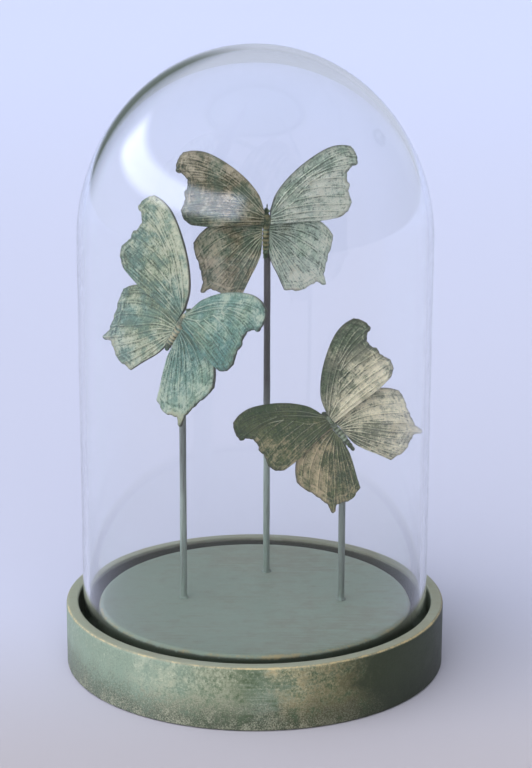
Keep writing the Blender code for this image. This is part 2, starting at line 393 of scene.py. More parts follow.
def add_piece(name, points, faces, material, smooth_angle=40.0, layers=None):
    """Put a surface in millimetres into a mesh object in metres; a repeated corner makes a triangle."""
    mesh = bpy.data.meshes.new(name)
    pole = faces[:, 0] == faces[:, 1]
    other = faces[:, 2] == faces[:, 3]
    rows = faces[~pole & ~other].tolist() + faces[pole][:, 1:].tolist() + faces[other][:, :3].tolist()
    mesh.from_pydata((points * MM).tolist(), [], rows)
    for layer, values in (layers or {}).items():
        if values.ndim == 1:
            mesh.attributes.new(layer, "FLOAT", "POINT").data.foreach_set("value", values)
        else:
            mesh.attributes.new(layer, "FLOAT_VECTOR", "POINT").data.foreach_set("vector", values.ravel())
    mesh.shade_smooth()
    mesh.set_sharp_from_angle(angle=math.radians(smooth_angle))
    mesh.materials.append(material)
    piece = bpy.data.objects.new(name, mesh)
    bpy.context.scene.collection.objects.link(piece)
    return piece


def hand_over(piece, node):
    """Let the piece stand for its CAD node and take its finish from the record's slot."""
    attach(piece, RIDES_ON)
    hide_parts(node)


class Shading:
    """A node tree being filled; each method adds a node and gives back its output."""

    def __init__(self, tree):
        self.nodes = tree.nodes
        self.links = tree.links

    def feed(self, socket, value):
        """Link an output to the socket, or set it to a plain value."""
        if isinstance(value, NodeSocket):
            self.links.new(value, socket)
        elif isinstance(value, (int, float)):
            socket.default_value = value
        else:
            size = len(socket.default_value)
            socket.default_value = (*value, 1.0)[:size]

    def add(self, kind, values, output=0, **settings):
        """A node of this kind, with its settings and its inputs by number or name."""
        node = self.nodes.new(kind)
        for name, value in settings.items():
            setattr(node, name, value)
        for socket, value in values.items():
            self.feed(node.inputs[socket], value)
        return node.outputs[output]

    def place(self):
        """Object coordinates in millimetres."""
        return self.stretch(self.add("ShaderNodeTexCoord", {}, "Object"), (1.0 / MM, 1.0 / MM, 1.0 / MM))

    def layer(self, name, output="Fac"):
        """A value that the mesh carries at its points."""
        return self.add("ShaderNodeAttribute", {}, output, attribute_name=name)

    def stretch(self, vector, scale, shift=(0.0, 0.0, 0.0)):
        """The coordinates times scale, then moved by shift."""
        return self.add("ShaderNodeMapping", {"Vector": vector, "Scale": scale, "Location": shift})

    def shifted(self, vector, x, y, z=0.0):
        """The coordinates moved, so that two noises of one kind differ."""
        return self.stretch(vector, (1.0, 1.0, 1.0), (x, y, z))

    def noise(self, vector, scale, detail=3.0, roughness=0.55):
        """Cloudy noise about one half; scale is in features to the millimetre."""
        return self.add("ShaderNodeTexNoise", {"Vector": vector, "Scale": scale, "Detail": detail,
                                               "Roughness": roughness})

    def ramp(self, value, low, high, start=0.0, end=1.0):
        """Smooth step of value from low to high, out to start and end."""
        return self.add("ShaderNodeMapRange", {"Value": value, "From Min": low, "From Max": high,
                                               "To Min": start, "To Max": end},
                        interpolation_type="SMOOTHSTEP")

    def times(self, first, *others):
        """Product of the values."""
        for other in others:
            first = self.add("ShaderNodeMath", {0: first, 1: other}, operation="MULTIPLY")
        return first

    def weighted(self, offset, *pairs):
        """Sum of value times weight over the pairs, plus an offset."""
        total = offset
        for value, weight in pairs:
            total = self.add("ShaderNodeMath", {0: value, 1: weight, 2: total}, operation="MULTIPLY_ADD")
        return total

    def blend(self, part, under, over):
        """The under colour with the over colour laid on it by part."""
        return self.add("ShaderNodeMix", {0: part, 6: under, 7: over}, output=2, data_type="RGBA")

    def axis(self, vector, name):
        """One axis of a vector."""
        return self.add("ShaderNodeSeparateXYZ", {"Vector": vector}, name)


class Finish(Shading):
    """One Principled material being made. Its colour is built up in coats."""

    def __init__(self, name, ground=(1.0, 1.0, 1.0), **values):
        self.material = bpy.data.materials.new(name)
        self.material.use_nodes = True
        super().__init__(self.material.node_tree)
        self.shader = self.nodes["Principled BSDF"]
        self.tone = ground
        self.set(**values)

    def set(self, **values):
        """Feed inputs of the Principled shader, named with underscores for spaces."""
        for name, value in values.items():
            self.feed(self.shader.inputs[name.replace("_", " ")], value)

    def coat(self, part, over):
        """Lay a colour on the coats so far, by part."""
        self.tone = self.blend(part, self.tone, over)

    def relief(self, height, distance):
        """Bump the surface by height times distance in millimetres."""
        self.set(Normal=self.add("ShaderNodeBump", {"Height": height, "Distance": distance * MM}))

    def done(self, metallic, roughness, height, distance):
        """The material with its coats, these two values and this relief."""
        self.set(Base_Color=self.tone, Metallic=metallic, Roughness=roughness)
        self.relief(height, distance)
        return self.material


def base_finish(settings):
    """Satin grey-green paint: soft large patches under a fine grain, gold rubbed thinly over the wall and
    its edges, a dark wash in the groove and along the foot. The plinth is calmer than the wall."""
    finish = Finish("verdigris_base_paint", settings.green, Specular_IOR_Level=0.3)
    noise, ramp, times, weighted = finish.noise, finish.ramp, finish.times, finish.weighted
    place = finish.place()
    wear, wall, low, rim = (finish.layer(name) for name in ("wear", "wall", "low", "rim"))
    clouds = noise(place, 0.017, 2.0, 0.5)
    far_clouds = noise(finish.shifted(place, 300.0, 40.0), 0.021, 2.0, 0.5)
    mottle = noise(place, 0.12, 4.0, 0.7)
    grain = noise(place, 1.5, 3.0, 0.75)
    coarse = noise(finish.shifted(place, 0.0, 90.0), 0.75, 3.0, 0.7)
    sideways = noise(finish.stretch(place, (0.05, 1.0, 1.0)), 0.85, 4.0, 0.6)
    around = weighted(-50.0, (finish.axis(place, "X"), 1.0), (far_clouds, 60.0), (mottle, 40.0))

    chalk = weighted(-0.46, (clouds, 1.0), (sideways, 0.45), (mottle, 0.40), (wall, -0.14))
    finish.coat(ramp(chalk, 0.25, 0.75), settings.pale_green_and_painted_light)
    # Painted light: the wall turns paler towards the left, where the light comes from
    finish.coat(times(ramp(around, -14.0, -60.0), wall, 0.55), settings.pale_green_and_painted_light)
    # Flat tops paler: partly their calmer paint, partly painted reflection that brightens them
    finish.coat(weighted(0.88, (wall, -0.88)), settings.pale_green_and_painted_light)
    lines = ramp(weighted(0.0, (sideways, 0.35), (mottle, 0.3), (clouds, 0.35)), 0.44, 0.62)
    finish.coat(times(lines, weighted(0.48, (wall, -0.30))), settings.bronze)
    dabs = ramp(weighted(0.0, (mottle, 0.6), (coarse, 0.4)), 0.36, 0.64)
    chalk_patch = times(ramp(around, -74.0, -36.0), ramp(around, -2.0, -22.0))
    finish.coat(times(chalk_patch, dabs, wall, 0.42), settings.cream)
    rub = times(ramp(around, 6.0, 28.0), ramp(around, 64.0, 42.0), dabs, wall)
    finish.coat(times(rub, 0.70), settings.gold)
    pits = ramp(weighted(0.0, (grain, 0.6), (coarse, 0.4)), 0.47, 0.36)
    finish.coat(times(pits, weighted(0.06, (wall, 0.30))), settings.dark_green_and_right_shade)
    salt = ramp(weighted(-0.10, (coarse, 0.6), (grain, 0.4), (far_clouds, 0.25)), 0.52, 0.66)
    finish.coat(times(salt, weighted(0.08, (wall, 0.16))), settings.cream)
    # Painted shade: the wall darkens towards the right
    finish.coat(times(ramp(around, 22.0, 58.0), wall, 0.95), settings.dark_green_and_right_shade)
    # Painted shade in the groove, and darker towards the foot of the wall, broken up by noise
    groove_shade_and_dark_foot = ramp(weighted(-0.38, (low, 1.0), (mottle, 0.6), (coarse, 0.6)), 0.30, 0.80)
    finish.coat(times(groove_shade_and_dark_foot, weighted(0.95, (wall, -0.12))), settings.shade_umber)
    dust = ramp(weighted(0.0, (grain, 0.55), (low, 0.12), (mottle, 0.35)), 0.46, 0.62)
    finish.coat(times(dust, ramp(around, 66.0, 20.0), low, wall, 0.70), settings.cream)
    finish.coat(times(rim, 0.55), settings.bronze)
    edge = weighted(-1.78, (wear, 1.0), (mottle, 1.20), (coarse, 0.90), (far_clouds, 0.80))
    finish.coat(times(ramp(edge, 0.30, 0.85), 0.7), settings.gold)

    return finish.done(times(rub, 0.3), weighted(0.28, (grain, 0.2), (mottle, 0.2)),
                       weighted(0.0, (sideways, 0.5), (grain, 0.5), (mottle, 0.3)), 0.14)


def glass_finish(settings):
    """Clear glass: full transmission, a faint absorption, and a slow ripple left by the blowing."""
    finish = Finish("clear_dome_glass", Base_Color=(1.0, 1.0, 1.0), Roughness=0.0,
                    Transmission_Weight=1.0, IOR=settings.ior)
    finish.relief(finish.noise(finish.place(), 0.03, 1.0, 0.4), 0.02)
    values = {"Color": settings.tint, "Density": settings.density}
    inside = finish.add("ShaderNodeVolumeAbsorption", values)
    finish.feed(finish.nodes["Material Output"].inputs["Volume"], inside)
    return finish.material


def rod_finish(name, settings, bronze, start):
    """Painted rod: greener at the foot, streaked lengthwise; from a height up, bronze shows through."""
    finish = Finish(name, settings.grey)
    ramp, weighted = finish.ramp, finish.weighted
    place = finish.place()
    height = finish.axis(place, "Z")
    streak = finish.noise(finish.stretch(place, (1.0, 1.0, 0.04)), 0.9, 3.0, 0.6)
    patch = finish.noise(place, 0.08, 3.0, 0.6)
    grain = finish.noise(place, 2.2, 2.0, 0.6)
    finish.coat(ramp(weighted(0.0, (height, -1.0), (patch, 20.0)), -75.0, -25.0), settings.green)
    finish.coat(ramp(streak, 0.52, 0.8), settings.bronze)
    bare = ramp(weighted(-start, (height, 1.0), (patch, 45.0)), 0.0, 42.0, 0.0, bronze)
    finish.coat(bare, settings.bronze)
    return finish.done(finish.times(bare, 0.5), weighted(0.28, (streak, 0.3)),
                       weighted(0.0, (streak, 0.6), (grain, 0.4)), 0.12)


def casting_finish(name, settings, paint, seed):
    """Painted casting: two coats in patches, a dark wash beside the veins and in fine strokes, a
    dry-brushed pale coat that thins out across the wing, pale veins and a dark edge.

    paint is (ground, patina, dry colour, brushing). The mesh carries ridge (1 on a vein), flank (1 beside
    a vein), hem (1 at the margin), rim (1 on the edge) and brush (millimetres outwards and upwards)."""
    ground, patina, dry, (amount, outwards, upwards) = paint
    finish = Finish(name, ground, Specular_IOR_Level=0.3)
    noise, ramp, times, weighted = finish.noise, finish.ramp, finish.times, finish.weighted
    place = finish.shifted(finish.place(), seed * 37.0, seed * 11.0)
    layer = finish.layer("brush", "Vector")
    brush = finish.shifted(layer, seed * 61.0, seed * 23.0, seed)
    ridge, flank, hem, rim = (finish.layer(name) for name in ("ridge", "flank", "hem", "rim"))
    patches = noise(place, 0.07, 3.0, 0.55)
    clouds = noise(finish.shifted(place, 90.0, 0.0), 0.12, 4.0, 0.65)
    speckle = noise(place, 0.6, 5.0, 0.8)
    along = noise(finish.stretch(brush, (0.10, 1.25, 1.0)), 1.0, 4.0, 0.7)
    hatch = noise(finish.stretch(brush, (1.5, 0.42, 1.0), (0.0, 500.0, 0.0)), 1.0, 4.0, 0.8)
    grain = noise(place, 2.4, 2.0, 0.7)
    rise = weighted(-0.5 * (outwards + upwards), (finish.axis(layer, "X"), outwards / BRUSH_LONG),
                    (finish.axis(layer, "Y"), upwards / BRUSH_WIDE))

    finish.coat(ramp(patches, 0.44, 0.58), patina)
    # The dark wash is partly painted shadow: it darkens beside the veins
    wash = weighted(-1.12, (along, 0.7), (hatch, 0.5), (speckle, 0.6), (clouds, 0.5),
                    (flank, -0.12), (ridge, 0.10), (rise, 0.18))
    finish.coat(ramp(wash, 0.06, -0.16, 0.0, 0.85), settings.recess)
    rubbed = weighted(0.6 * amount - 1.875, (clouds, 1.15), (along, 0.7), (hatch, 0.5),
                      (speckle, 0.8), (ridge, 0.15), (flank, -0.10), (rise, 0.55))
    pale = ramp(rubbed, -0.12, 0.36)
    finish.coat(times(pale, 0.85), dry)
    vein = ramp(weighted(-0.62, (ridge, 0.9), (along, 0.5), (grain, 0.4)), 0.30, 0.80)
    finish.coat(times(vein, ramp(finish.axis(layer, "X"), 2.0, 16.0, 0.35, 1.0), 0.80), settings.cream)
    finish.coat(ramp(hatch, 0.44, 0.30, 0.0, 0.42), settings.recess)
    finish.coat(ramp(hatch, 0.56, 0.70, 0.0, 0.40), settings.cream)
    finish.coat(ramp(clouds, 0.50, 0.38, 0.0, 0.35), patina)
    warm = ramp(weighted(-0.62, (patches, 1.0), (speckle, 0.4), (hem, 0.12)), 0.16, 0.36)
    finish.coat(times(warm, weighted(0.18, (pale, 0.30))), settings.gold)
    # Painted shade on the edge of the plate and near the margin
    finish.coat(times(rim, 0.85), settings.edge)

    return finish.done(weighted(0.05, (pale, 0.12), (warm, 0.2)),
                       weighted(0.28, (grain, 0.2), (clouds, 0.2)),
                       weighted(0.0, (along, 0.6), (hatch, 0.5), (speckle, 0.5), (grain, 0.3)), 0.55)


def body_finish(name, settings, ground, high_colour, seed):
    """Casting paint for a body: green in the creases and gold on the high beads."""
    finish = Finish(name, settings.recess)
    place = finish.shifted(finish.place(), seed * 19.0, 0.0, seed * 7.0)
    ridge = finish.layer("ridge")
    clouds = finish.noise(place, 0.35, 3.0, 0.6)
    grain = finish.noise(place, 2.0, 3.0, 0.7)
    finish.coat(finish.ramp(clouds, 0.40, 0.72), ground)
    high = finish.weighted(-0.5, (ridge, 0.62), (clouds, 0.6), (grain, 0.5))
    high = finish.ramp(high, 0.22, 0.72)
    finish.coat(finish.times(high, 0.75), high_colour)
    return finish.done(finish.times(high, 0.25), finish.weighted(0.28, (grain, 0.3)),
                       finish.weighted(0.0, (grain, 0.6), (clouds, 0.4)), 0.25)


def base_profile(settings):
    """Half section of the base, from the underside's centre out, up, across the groove and to the top.

    The foot has a small chamfer, the rim an arris as a quarter circle, and the plinth a rounded edge."""
    radius, height = settings.radius / MM, settings.height / MM
    arris, round_edge = settings.arris / MM, settings.plinth_round / MM
    rim_inner = radius - settings.rim_width / MM
    floor = height - settings.groove_depth / MM
    plinth = settings.plinth_radius / MM
    chamfer = 0.7
    return np.vstack([
        line((0.0, 0.0), (radius - chamfer, 0.0), 6),
        line((radius - chamfer, 0.0), (radius, chamfer), 3),
        line((radius, chamfer), (radius, height - arris), 22),
        arc((radius - arris, height - arris), arris, 0.0, 90.0, 7)[:-1],
        line((radius - arris, height), (rim_inner + chamfer, height), 5),
        arc((rim_inner + chamfer, height - chamfer), chamfer, 90.0, 90.0, 4)[:-1],
        line((rim_inner, height - chamfer), (rim_inner, floor), 8),
        line((rim_inner, floor), (plinth, floor), 5),
        line((plinth, floor), (plinth, height - round_edge), 7),
        arc((plinth - round_edge, height - round_edge), round_edge, 0.0, 90.0, 9)[:-1],
        line((plinth - round_edge, height), (4.0, height), 12),
        [(0.0, height)]])


def base_layers(points, settings):
    """Wear on the arrises, the wall's and the rim's share and the dark low places, point by point."""
    radius, height = settings.radius / MM, settings.height / MM
    away = np.hypot(points[:, 0], points[:, 1])
    up = points[:, 2]
    outer = np.hypot(away - radius + 0.45, up - height + 0.45)
    edge = settings.plinth_radius / MM - 1.0
    plinth = np.hypot(away - edge, up - height + 1.0)
    wear = hump(outer, 0.85) + 0.90 * hump(plinth, 1.7)
    wall = np.clip((away - radius + 2.0) / 2.0, 0.0, 1.0) * (up < height - 0.2)
    rim = np.clip((away - radius + settings.rim_width / MM + 1.0) / 1.0, 0.0, 1.0) * (up > height - 1.0)
    # Painted shade: darker the deeper into the groove
    deep_groove_shade = 1.3 * np.clip((height - up - 0.6) / 3.0, 0.0, 1.0) * (away < radius - 2.0)
    # Darker towards the foot of the wall
    foot = 0.58 * np.clip(1.0 - up / 25.0, 0.0, 1.0)
    return {"wear": wear, "wall": wall, "rim": rim, "low": np.maximum(deep_groove_shade, foot)}


def make_base(settings, rods):
    """Turned base with a blind hole for each rod; the round edges are very slightly uneven by hand."""
    points, faces = turned(base_profile(settings), BASE_STEPS)
    layers = base_layers(points, settings)
    angle = np.arctan2(points[:, 1], points[:, 0])
    away = np.hypot(points[:, 0], points[:, 1])
    uneven = (0.10 * np.sin(7.0 * angle + 1.0) + 0.06 * np.sin(23.0 * angle)
              + 0.04 * np.sin(61.0 * angle + 2.0))
    rounded = layers["wear"] * (points[:, 2] > 1.0)
    scale = 1.0 - 0.8 * rounded * np.abs(uneven) / np.maximum(away, 1.0)
    points[:, :2] *= scale[:, None]
    piece = add_piece("turned_base", points, faces, base_finish(settings), BASE_SMOOTH, layers)
    drills = []
    for key in BUTTERFLY_KEYS:
        x, y = PLACES[key]["rod"]
        top, foot = settings.height / MM, span(f"stem_{key}", 2)[0] - FIT_GAP
        wide = rods.radius / MM + FIT_GAP
        profile = ((0.0, foot), (wide, foot), (wide, top + 5.0), (0.0, top + 5.0))
        cutter, sides = turned(profile, 40)
        drill = add_piece(f"drill_{key}", cutter + (x, y, 0.0), sides, piece.data.materials[0], 40.0)
        cut = piece.modifiers.new(f"rod hole {key}", "BOOLEAN")
        cut.operation, cut.solver, cut.object = "DIFFERENCE", "EXACT", drill
        drills.append(drill)
    graph = bpy.context.evaluated_depsgraph_get()
    bored = bpy.data.meshes.new_from_object(piece.evaluated_get(graph))
    piece.modifiers.clear()
    piece.data = bored
    for drill in drills:
        bpy.data.objects.remove(drill, do_unlink=True)
    bored.set_sharp_from_angle(angle=math.radians(BASE_SMOOTH))
    hand_over(piece, "base")


def make_dome(settings):
    """Blown glass shell: a straight side and a quarter ellipse for a crown, outside and in, joined by a
    fire-rounded rim. Its radius wavers by a few hundredths of a millimetre."""
    radius, wall = settings.radius / MM, settings.wall / MM
    shoulder, rim, top = settings.shoulder / MM, settings.rim / MM, settings.top / MM

    def side(reach_out, crown):
        """Crown pole down to just above the rim."""
        angle = np.radians(np.linspace(90.0, 0.0, 60, endpoint=False))
        rise = (crown - shoulder) * np.sin(angle)
        curve = np.stack([reach_out * np.cos(angle), shoulder + rise], axis=1)
        curve[0, 0] = 0.0
        return np.vstack([curve, line((reach_out, shoulder), (reach_out, rim + 0.5 * wall), 14)])

    bead = arc((radius - 0.5 * wall, rim + 0.5 * wall), 0.5 * wall, 0.0, -180.0, 9)
    profile = np.vstack([side(radius, top), bead, side(radius - wall, top - wall)[::-1]])
    points, faces = turned(profile, DOME_STEPS)
    angle = np.arctan2(points[:, 1], points[:, 0])
    z = points[:, 2]
    waver = 0.00035 * np.sin(3.0 * angle + z / 31.0) + 0.0002 * np.sin(5.0 * angle - z / 19.0)
    points[:, :2] *= 1.0 + waver[:, None] * (points[:, 2:] > rim + wall)
    dome = add_piece("blown_dome", points, faces, glass_finish(settings), 60.0)
    dome.visible_shadow = False
    hand_over(dome, "glass_dome")


def make_rod(key, settings, plinth_top):
    """Rod along Z: radius by height, with a soft paint fillet where it enters the plinth and a domed top.

    A dab of solder at the top holds the casting."""
    x, y = PLACES[key]["rod"]
    low, high = span(f"stem_{key}", 2)
    radius, collar = settings.radius / MM, settings.collar / MM
    above = np.concatenate([np.linspace(0.0, 2.4, 13), np.linspace(4.0, high - plinth_top - 1.2, 70)])
    fillet = 0.06 * np.clip(above * 8.0, 0.0, 1.0)
    swell = (collar + 0.25) * np.exp(-above / 0.55)
    shaft = np.stack([radius + swell, plinth_top + above + fillet], axis=1)
    cap = arc((0.0, high - 1.0), 1.0, 0.0, 90.0, 6) * (radius, 1.0)
    profile = np.vstack([[(0.0, low)], [(radius - 0.2, low)], [(radius, low + 0.3)],
                         [(radius, plinth_top - 0.02)], shaft, cap[1:-1], [(0.0, high)]])
    points, faces = turned(profile, ROD_STEPS)
    angle = np.arctan2(points[:, 1], points[:, 0])
    z = points[:, 2]
    uneven = 0.02 * np.sin(2.0 * angle + z / 9.0) + 0.012 * np.sin(5.0 * angle - z / 3.7)
    daub = 0.16 * hump(z - plinth_top, 1.4) * np.sin(3.0 * angle + 1.3 * x)
    points[:, :2] *= (1.0 + (uneven + daub) * (z > plinth_top))[:, None]
    dab, dab_faces = solder_dab(PLACES[key], high)
    return np.vstack([points + (x, y, 0.0), dab]), np.vstack([faces, dab_faces + len(points)])


def solder_dab(place, rod_top):
    """Ellipsoid from the rod's axis to the nearest place on the body's, where the casting is fixed."""
    axis = np.zeros((60, 3))
    axis[:, 2] = np.linspace(-9.0, 9.0, 60) * place["size"]
    axis = placed(axis, place)
    foot = np.column_stack([np.tile(place["rod"], (60, 1)), np.minimum(axis[:, 2], rod_top - 1.6)])
    nearest = np.linalg.norm(axis - foot, axis=1).argmin()
    across = axis[nearest] - foot[nearest]
    half = 0.5 * np.linalg.norm(across)
    along = across / (2.0 * half)
    side = np.cross(along, (0.0, 0.0, 1.0))
    side /= np.linalg.norm(side)
    turn = np.stack([side, np.cross(along, side), along])
    sphere, faces = turned(arc((0.0, 0.0), 1.0, -90.0, 180.0, 15), 24)
    return (sphere * (1.5, 1.9, half)) @ turn + 0.5 * (axis[nearest] + foot[nearest]), faces


def wing_plan(edges, nibble):
    """Coons patch over the four edges: each point is the sum of the two blends between opposite edges,
    less the blend of the four corners. The margin is nibbled by three sines along its length."""
    margin = evenly(smooth_curve(edges["margin"]), WING_COLUMNS)
    along = np.linspace(0.0, 1.0, WING_COLUMNS)
    bite = (0.5 * np.sin(along * 61.0) + 0.35 * np.sin(along * 113.0 + 1.0)
            + 0.6 * np.sin(along * 27.0 + 2.0))
    tangent = np.gradient(margin, axis=0)
    tangent /= np.linalg.norm(tangent, axis=1)[:, None]
    outwards = np.stack([tangent[:, 1], -tangent[:, 0]], axis=1)
    margin = margin + outwards * (nibble * bite * np.sin(np.pi * along) ** 0.5)[:, None]
    root = evenly(smooth_curve(edges["root"]), WING_COLUMNS)[None]
    lower, upper = (evenly(smooth_curve(edges[name]), WING_ROWS)[:, None] for name in ("lower", "upper"))
    margin = margin[None]
    s = np.linspace(0.0, 1.0, WING_ROWS)[:, None, None]
    t = np.linspace(0.0, 1.0, WING_COLUMNS)[None, :, None]
    corners = ((1 - s) * ((1 - t) * root[:, :1] + t * root[:, -1:])
               + s * ((1 - t) * margin[:, :1] + t * margin[:, -1:]))
    return (1 - s) * root + s * margin + (1 - t) * lower + t * upper - corners


def wing_relief(plan, veins, hem_width, settings):
    """Height of the casting over its flat plate, and the layers that its paint follows.

    Each vein is a bell-shaped ridge that thins outwards; the skin sags between veins; one line runs
    inside the margin, and the upper edge is rolled."""
    points = plan.reshape(-1, 2)
    tall, wide = settings.vein_height / MM, settings.vein_width / MM
    ridge, nearest = np.zeros(len(points)), np.full(len(points), 99.0)
    for vein in veins:
        away, along = reach(points, evenly(smooth_curve(vein), 20))
        ridge = np.maximum(ridge, hump(away, wide * (1.1 - 0.4 * along)) * (1.0 - 0.3 * along))
        nearest = np.minimum(nearest, away)
    margin, upper, lower = (reach(points, plan[row, column])[0]
                            for row, column in ((-1, slice(None)), (slice(None), -1), (slice(None), 0)))
    hem = hump(margin - hem_width, 0.55)
    roll = hump(upper, 1.0)
    fold = hump(lower, 0.7)
    sag = 0.5 * (1.0 - hump(nearest, 1.9))
    u, v = points.T
    uneven = 0.25 * np.sin(u * 0.61 + 1.3 * np.sin(v * 0.33)) * np.sin(v * 0.47 + 1.0)
    height = tall * (ridge + 0.5 * hem + 0.9 * roll + 0.4 * fold - sag + uneven)
    bright = np.clip(np.maximum.reduce([ridge ** 1.6, 0.6 * hem, 0.35 * roll]), 0.0, 1.0)
    # Painted shadow: a band beside each vein and beside the line inside the margin
    beside = np.maximum(hump(nearest - 1.6 * wide, 0.8 * wide),
                        hump(np.abs(margin - hem_width) - 0.9, 0.5))
    return height, {"ridge": bright, "flank": beside, "hem": hump(margin, 1.8),
                    "margin_shade": hump(np.minimum(margin, upper), 0.45)}


def wing_surface(plan, relief, layers, step, settings):
    """Closed plate: the front grid stands up by the relief, the back grid by half of it, and the edge is
    a rounded strip of a few rows between their outlines."""
    rows, columns = plan.shape[:2]
    s, t = np.meshgrid(np.linspace(0.0, 1.0, rows), np.linspace(0.0, 1.0, columns), indexing="ij")
    bow = settings.bow / MM * (np.sin(np.pi * t) * s).ravel()
    thin = settings.thickness / MM * (1.0 - 0.12 * s.ravel())
    flat = plan.reshape(-1, 2)
    front = np.stack([flat[:, 0], step - bow - 0.5 * thin - relief, flat[:, 1]], axis=1)
    back = np.stack([flat[:, 0], step - bow + 0.5 * thin + 0.5 * relief, flat[:, 1]], axis=1)

    index = np.arange(rows * columns).reshape(rows, columns)
    loop = np.concatenate([index[0, :-1], index[:-1, -1], index[-1, :0:-1], index[:0:-1, 0]])
    outline = flat[loop]
    tangent = np.roll(outline, -1, axis=0) - np.roll(outline, 1, axis=0)
    tangent /= np.linalg.norm(tangent, axis=1)[:, None]
    outwards = np.stack([-tangent[:, 1], tangent[:, 0]], axis=1)
    angle = np.pi * np.arange(1, RIM_ROWS + 1) / (RIM_ROWS + 1)
    middle = 0.5 * (front[loop, 1] + back[loop, 1])
    half = 0.5 * (back[loop, 1] - front[loop, 1])
    bulge = 0.24 * np.sin(angle)[:, None, None] * outwards
    rim = np.stack([(outline + bulge)[..., 0], middle - half * np.cos(angle)[:, None],
                    (outline + bulge)[..., 1]], axis=-1)

    points = np.vstack([front, back, rim.reshape(-1, 3)])
    first = 2 * rows * columns
    strips = np.vstack([loop, first + np.arange(RIM_ROWS * len(loop)).reshape(RIM_ROWS, -1),
                        rows * columns + loop])
    strips = np.hstack([strips, strips[:, :1]])
    faces = np.vstack([quads_between(index), quads_between(index + rows * columns)[:, ::-1],
                       quads_between(strips)[:, ::-1]])
    brush = np.stack([s.ravel() * BRUSH_LONG, t.ravel() * BRUSH_WIDE, np.zeros(s.size)], axis=1)
    on_rim = np.tile(loop, RIM_ROWS)
    carried = {name: np.concatenate([layers[name], behind * layers[name], edge * layers[name][on_rim]])
               for name, behind, edge in (("ridge", 0.8, 0.2), ("flank", 1.0, 1.0), ("hem", 1.0, 1.0))}
    # Painted shade: up to a half near the margin on both faces, full on the edge strip
    near = 0.5 * layers["margin_shade"]
    carried["rim"] = np.concatenate([near, near, np.ones(len(on_rim))])
    carried["brush"] = np.vstack([brush, brush + (0.0, 0.0, 9.0), brush[on_rim]])
    return points, faces, carried


def body_surface(place):
    """Body of rings: the profile's radius, swelled and dented on the thorax by a product of sines like
    cropped fur, with two eyes and, where it has survived, the stub of a feeler."""
    profile = smooth_curve(BODY_PROFILE, 6)
    height, radius = profile[1:-1].T
    radius = np.maximum(radius, 0.05)
    angle = 2.0 * np.pi * np.arange(BODY_STEPS) / BODY_STEPS
    h, turn = np.meshgrid(height, angle, indexing="ij")
    on_thorax = hump(h - 7.3, 3.2)
    fur = np.sin(9.0 * turn + 2.5 * np.sin(1.7 * h)) * np.sin(2.6 * h + 2.0 * np.cos(3.0 * turn))
    seam = hump(np.sin(0.5 * (turn + 0.5 * np.pi)), 0.16) * on_thorax
    r = radius[:, None] * (1.0 + 0.07 * fur * on_thorax - 0.10 * seam)
    rings = np.stack([r * np.cos(turn), r * np.sin(turn), h], axis=-1)
    surfaces = [ring_surface(rings, (0.0, 0.0, profile[0, 0]), (0.0, 0.0, profile[-1, 0]))]
    bead = np.clip((radius - 1.15) / 0.6, 0.0, 1.0)[:, None]
    bead = bead * (1.0 - 0.6 * on_thorax) + 0.35 * fur * on_thorax
    ridges = [np.concatenate([np.clip(bead, 0.0, 1.0).ravel(), [0.2, 0.2]])]
    parts = [((side * 1.05, -0.55, 12.7), (0.62, 0.62, 0.78), 0.1) for side in (-1, 1)]
    if place["feeler"]:
        stub = 0.5 * place["feeler"]
        parts.append(((0.35, -0.1, 14.0 + stub), (0.32, 0.32, stub + 0.4), 0.0))
    for centre, radii, bright in parts:
        points, faces = turned(arc((0.0, 0.0), 1.0, -90.0, 180.0, 11), 16)
        surfaces.append((points * radii + centre, faces))
        ridges.append(np.full(len(points), bright))
    starts = np.cumsum([0] + [len(points) for points, _ in surfaces[:-1]])
    points = np.vstack([points for points, _ in surfaces])
    faces = np.vstack([faces + start for (_, faces), start in zip(surfaces, starts)])
    points[:, 2] *= np.where(points[:, 2] < 0.0, place["abdomen"], 1.0)
    return points, faces, {"ridge": np.concatenate(ridges)}


# Operators


class CLOCHE_OT_base(Operator):
    """Turn the base, bore the rod holes and paint it."""

    bl_idname = "cloche.make_base"
    bl_label = "Turned Base"

    def execute(self, context):
        make_base(context.scene.cloche_base, context.scene.cloche_rods)
        return {"FINISHED"}


class CLOCHE_OT_glass(Operator):
    """Blow the glass dome."""

    bl_idname = "cloche.make_glass"
    bl_label = "Glass Dome"

    def execute(self, context):
        make_dome(context.scene.cloche_glass)
        return {"FINISHED"}


class CLOCHE_OT_rods(Operator):
    """Set the three rods in the base."""

    bl_idname = "cloche.make_rods"
    bl_label = "Rods"

    def execute(self, context):
        settings = context.scene.cloche_rods
        plinth_top = context.scene.cloche_base.height / MM
        for key in BUTTERFLY_KEYS:
            points, faces = make_rod(key, settings, plinth_top)
            finish = rod_finish(f"rod_paint_{key}", settings, *PLACES[key]["bronze"])
            hand_over(add_piece(f"rod_{key}", points, faces, finish), f"stem_{key}")
        return {"FINISHED"}


class CLOCHE_OT_bodies(Operator):
    """Cast the three bodies."""

    bl_idname = "cloche.make_bodies"
    bl_label = "Bodies"

    def execute(self, context):
        casting = context.scene.cloche_casting
        for seed, key in enumerate(BUTTERFLY_KEYS):
            place = PLACES[key]
            paint = getattr(context.scene, f"cloche_{key}_butterfly")
            points, faces, layers = body_surface(place)
            finish = body_finish(f"body_paint_{key}", casting, paint.left_patina, paint.body, seed + 1.0)
            piece = add_piece(f"cast_{key}_body", placed(points * place["size"], place), faces, finish,
                              70.0, layers)
            hand_over(piece, f"butterfly_{key}_body")
        return {"FINISHED"}


